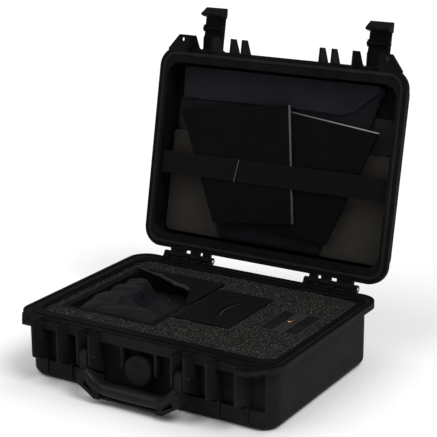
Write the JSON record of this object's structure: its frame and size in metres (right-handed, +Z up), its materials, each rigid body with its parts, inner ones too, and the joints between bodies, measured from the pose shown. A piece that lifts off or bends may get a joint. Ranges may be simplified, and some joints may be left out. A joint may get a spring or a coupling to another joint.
{
  "type": "hard transport case with dismantled fixed-wing drone kit",
  "caption": "Open hard transport case with a hinged lid, latches, a folding handle and diced foam, packed with the wing panels, body pouch, control unit and batteries of a small drone.",
  "frame": {"origin": "centre of the underside of the case's base", "axes": "+X to the right seen from the front, +Y towards the hinges, +Z up"},
  "size_m": [0.47, 0.5251, 0.5286],
  "materials": {
    "case_plastic": "moulded, fine grain",
    "handle_rubber": "soft overmould",
    "pin_steel": "bright",
    "seal_rubber": "satin",
    "foam_grey": "open cell foam",
    "tray_nylon": "woven nylon",
    "pouch_fabric": "navy nylon",
    "airframe_foam": "foam airframe",
    "board_khaki": "pressed board",
    "board_grey": "pressed board",
    "wing_skin": "satin composite",
    "wing_edge": "white edge",
    "spar_carbon": "carbon",
    "strap_elastic": "woven elastic",
    "module_plastic": "fine grain",
    "battery_wrap": "shrink wrap",
    "liner_pale": "pale foam",
    "connector_gold": "polished"
  },
  "bodies": {
    "base": {"base_shell": "case_plastic", "hinge_pin_left": "pin_steel", "hinge_pin_right": "pin_steel", "handle_pin_left": "pin_steel", "handle_pin_right": "pin_steel", "valve_seat": "case_plastic", "valve_seal": "seal_rubber", "base_foam": "foam_grey", "foam_floor_pad": "foam_grey", "tray": "tray_nylon", "tray_flap": "tray_nylon", "airframe_pouch": "pouch_fabric", "fuselage_pod": "airframe_foam", "zip_pull": "pin_steel", "module_case": "module_plastic", "module_cover": "module_plastic", "module_screws": "pin_steel", "module_catch": "pin_steel", "battery_left": "battery_wrap", "battery_right": "battery_wrap", "battery_divider": "liner_pale", "battery_connector": "connector_gold"},
    "lid": {"lid_shell": "case_plastic", "lid_seal": "seal_rubber", "lid_foam": "foam_grey", "board_lower": "board_khaki", "board_upper": "board_grey", "fabric_bag": "pouch_fabric", "bag_flap": "pouch_fabric", "wing_left": "wing_skin", "wing_left_root": "wing_edge", "wing_left_spar": "spar_carbon", "wing_right": "wing_skin", "wing_right_root": "wing_edge", "wing_right_spar": "spar_carbon", "elastic_strap": "strap_elastic", "strap_fold": "strap_elastic", "strap_keeper": "wing_edge", "strap_anchors": "case_plastic", "strap_screws": "pin_steel", "latch_left_pin": "pin_steel", "latch_right_pin": "pin_steel"},
    "latch_left": {"latch_left_lever": "case_plastic", "latch_left_bar": "case_plastic"},
    "latch_right": {"latch_right_lever": "case_plastic", "latch_right_bar": "case_plastic"},
    "handle": {"handle_frame": "case_plastic", "handle_grip": "handle_rubber"},
    "valve": {"valve_knob": "case_plastic"}
  },
  "joints": [
    {"name": "lid_hinge", "type": "hinge", "parent": "base", "child": "lid", "pos_m": [0, 0.186, 0.11], "axis": [1, 0, 0], "range_deg": [0, 101.4]},
    {"name": "latch_left_hinge", "type": "hinge", "parent": "lid", "child": "latch_left", "pos_m": [-0.158, 0.29548, 0.45313], "axis": [1, 0, 0], "range_deg": [0, 90]},
    {"name": "latch_right_hinge", "type": "hinge", "parent": "lid", "child": "latch_right", "pos_m": [0.158, 0.29548, 0.45313], "axis": [1, 0, 0], "range_deg": [0, 90]},
    {"name": "handle_hinge", "type": "hinge", "parent": "base", "child": "handle", "pos_m": [0, -0.188, 0.0695], "axis": [-1, 0, 0], "range_deg": [0, 95]},
    {"name": "valve_turn", "type": "hinge", "parent": "base", "child": "valve", "pos_m": [0, -0.165, 0.0574], "axis": [0, -1, 0], "range_deg": [0, 270]}
  ]
}
